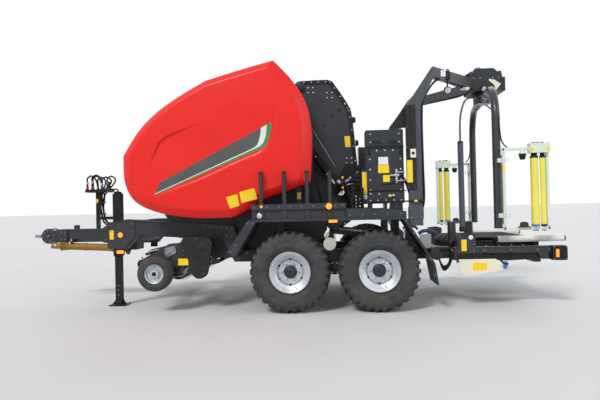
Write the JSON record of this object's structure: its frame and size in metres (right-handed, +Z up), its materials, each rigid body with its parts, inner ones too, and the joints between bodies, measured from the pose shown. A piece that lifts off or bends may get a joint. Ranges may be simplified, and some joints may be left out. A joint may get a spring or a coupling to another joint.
{
  "type": "round baler",
  "caption": "Round baler with a bale wrapper on one tandem-axle chassis: tined pickup, red side covers, opening tailgate, wrapping arch with a turning bow, belt table.",
  "frame": {"origin": "middle of the machine's box on the ground", "axes": "-X towards the towing eye, +X towards the wrapping table, +Y the machine's right-hand side, +Z up"},
  "size_m": [6.938, 2.54, 2.99],
  "materials": {
    "bare": "bare steel",
    "black": "black paint",
    "chrome": "ground rod",
    "dark": "dark grey paint",
    "film": "yellow roller coating",
    "frame": "satin grey paint",
    "lamp": "lamp lens",
    "pale": "pale paint",
    "plastic": "black plastic",
    "red": "gloss red paint",
    "rubber": "rubber",
    "silver": "silver paint",
    "steel": "blue-grey paint",
    "tyre": "rubber"
  },
  "bodies": {
    "machine": {"drawbar": "frame", "towing_eye": "bare", "chassis": "frame", "axle_beams": "dark", "jack_sleeve": "black", "gearbox": "dark", "drive_shaft": "plastic", "hose_rack": "black", "hoses": "rubber", "chamber_sides": "dark", "chamber_rollers": "bare", "net_box": "black", "feed_channel": "dark", "film_rack_left": "frame", "film_rack_right": "frame", "cabinet_left": "dark", "cabinet_right": "dark", "valve_block": "black", "bale_ramp": "steel", "arch": "steel", "arch_guards": "black", "wrap_head": "dark", "rear_frame": "dark", "film_guards": "pale", "lamps": "lamp"},
    "wheel_front_left": {"tyre_front_left": "tyre", "rim_front_left": "silver"},
    "wheel_front_right": {"tyre_front_right": "tyre", "rim_front_right": "silver"},
    "wheel_rear_left": {"tyre_rear_left": "tyre", "rim_rear_left": "silver"},
    "wheel_rear_right": {"tyre_rear_right": "tyre", "rim_rear_right": "silver"},
    "pickup": {"pickup_frame": "frame", "drive_cover": "plastic"},
    "reel": {"pickup_reel": "bare"},
    "crop": {"crop_roller": "black"},
    "gauge_left": {"gauge_wheel_left": "tyre"},
    "gauge_right": {"gauge_wheel_right": "tyre"},
    "rotor": {"feed_rotor": "bare"},
    "gate": {"tailgate": "dark", "tailgate_rollers": "bare"},
    "barrels": {"tailgate_barrels": "black"},
    "rods": {"tailgate_rods": "chrome"},
    "side_cover_left": {"cover_left": "red"},
    "side_cover_right": {"cover_right": "red"},
    "lid_left": {"cabinet_lid_left": "dark"},
    "lid_right": {"cabinet_lid_right": "dark"},
    "hood": {"front_hood": "black"},
    "jack": {"jack_leg": "black"},
    "wrap_arm": {"wrap_bow": "steel", "dispenser_left": "pale", "dispenser_right": "pale"},
    "roller_left_big": {"film_roller_left_big": "film"},
    "roller_left_small": {"film_roller_left_small": "film"},
    "roller_right_big": {"film_roller_right_big": "film"},
    "roller_right_small": {"film_roller_right_small": "film"},
    "table": {"table_frame": "steel", "table_belts": "rubber"},
    "fork": {"transfer_fork": "frame"}
  },
  "joints": [
    {"name": "wheel_front_left_spin", "type": "hinge", "parent": "machine", "child": "wheel_front_left", "pos_m": [0.215, -1.02, 0.4725], "axis": [0, 1, 0], "continuous": true},
    {"name": "wheel_front_right_spin", "type": "hinge", "parent": "machine", "child": "wheel_front_right", "pos_m": [0.215, 1.02, 0.4725], "axis": [0, 1, 0], "continuous": true},
    {"name": "wheel_rear_left_spin", "type": "hinge", "parent": "machine", "child": "wheel_rear_left", "pos_m": [1.245, -1.02, 0.4725], "axis": [0, 1, 0], "continuous": true},
    {"name": "wheel_rear_right_spin", "type": "hinge", "parent": "machine", "child": "wheel_rear_right", "pos_m": [1.245, 1.02, 0.4725], "axis": [0, 1, 0], "continuous": true},
    {"name": "pickup_lift", "type": "hinge", "parent": "machine", "child": "pickup", "pos_m": [-0.83, 0, 0.77], "axis": [0, -1, 0], "range_deg": [0, 30]},
    {"name": "reel_spin", "type": "hinge", "parent": "pickup", "child": "reel", "pos_m": [-1.17, 0, 0.52], "axis": [0, 1, 0], "continuous": true},
    {"name": "crop_spin", "type": "hinge", "parent": "pickup", "child": "crop", "pos_m": [-1.622, 0, 0.572], "axis": [0, 1, 0], "continuous": true},
    {"name": "gauge_left_spin", "type": "hinge", "parent": "pickup", "child": "gauge_left", "pos_m": [-1.38, -1.15, 0.478], "axis": [0, 1, 0], "continuous": true},
    {"name": "gauge_right_spin", "type": "hinge", "parent": "pickup", "child": "gauge_right", "pos_m": [-1.38, 1.15, 0.478], "axis": [0, 1, 0], "continuous": true},
    {"name": "rotor_spin", "type": "hinge", "parent": "machine", "child": "rotor", "pos_m": [-0.83, 0, 0.77], "axis": [0, 1, 0], "continuous": true},
    {"name": "tailgate_open", "type": "hinge", "parent": "machine", "child": "gate", "pos_m": [0.35, 0, 2.735], "axis": [0, -1, 0], "range_deg": [0, 60]},
    {"name": "tailgate_barrel_swing", "type": "hinge", "parent": "machine", "child": "barrels", "pos_m": [0.18, 0, 2.3], "axis": [0, -1, 0], "range_deg": [0, 61]},
    {"name": "tailgate_rod_slide", "type": "slide", "parent": "barrels", "child": "rods", "axis": [0.5855, 0, -0.8107], "range_m": [0, 0.468]},
    {"name": "cover_left_lift", "type": "hinge", "parent": "machine", "child": "side_cover_left", "pos_m": [-0.27, 0, 2.6], "axis": [0, 1, 0], "range_deg": [0, 60]},
    {"name": "cover_right_lift", "type": "hinge", "parent": "machine", "child": "side_cover_right", "pos_m": [-0.27, 0, 2.6], "axis": [0, 1, 0], "range_deg": [0, 60]},
    {"name": "lid_left_open", "type": "hinge", "parent": "machine", "child": "lid_left", "pos_m": [1.345, -0.756, 1.918], "axis": [-1, 0, 0], "range_deg": [0, 70]},
    {"name": "lid_right_open", "type": "hinge", "parent": "machine", "child": "lid_right", "pos_m": [1.345, 0.756, 1.918], "axis": [1, 0, 0], "range_deg": [0, 70]},
    {"name": "hood_open", "type": "hinge", "parent": "machine", "child": "hood", "pos_m": [-1.532, 0, 1.975], "axis": [0, 1, 0], "range_deg": [0, 70]},
    {"name": "jack_raise", "type": "slide", "parent": "machine", "child": "jack", "axis": [0, 0, 1], "range_m": [0, 0.33]},
    {"name": "wrap_spin", "type": "hinge", "parent": "machine", "child": "wrap_arm", "pos_m": [2.76, 0, 2.6], "axis": [0, 0, 1], "continuous": true},
    {"name": "film_left_big_spin", "type": "hinge", "parent": "wrap_arm", "child": "roller_left_big", "pos_m": [3.018, -1.152, 1.35], "axis": [0, 0, 1], "continuous": true},
    {"name": "film_left_small_spin", "type": "hinge", "parent": "wrap_arm", "child": "roller_left_small", "pos_m": [3.11, -1.152, 1.35], "axis": [0, 0, 1], "continuous": true},
    {"name": "film_right_big_spin", "type": "hinge", "parent": "wrap_arm", "child": "roller_right_big", "pos_m": [2.502, 1.152, 1.35], "axis": [0, 0, 1], "continuous": true},
    {"name": "film_right_small_spin", "type": "hinge", "parent": "wrap_arm", "child": "roller_right_small", "pos_m": [2.41, 1.152, 1.35], "axis": [0, 0, 1], "continuous": true},
    {"name": "table_tip", "type": "hinge", "parent": "machine", "child": "table", "pos_m": [3.17, 0, 0.61], "axis": [0, 1, 0], "range_deg": [0, 30]},
    {"name": "fork_lift", "type": "hinge", "parent": "machine", "child": "fork", "pos_m": [2.06, 0, 0.64], "axis": [0, 1, 0], "range_deg": [0, 60]}
  ],
  "couplings": [
    {"joint": "tailgate_barrel_swing", "follows": "tailgate_open", "ratio": 1.0138},
    {"joint": "tailgate_rod_slide", "follows": "tailgate_open", "m_per_rad": 0.4456},
    {"joint": "film_left_small_spin", "follows": "film_left_big_spin", "ratio": -1.4667},
    {"joint": "film_right_small_spin", "follows": "film_right_big_spin", "ratio": -1.4667}
  ]
}
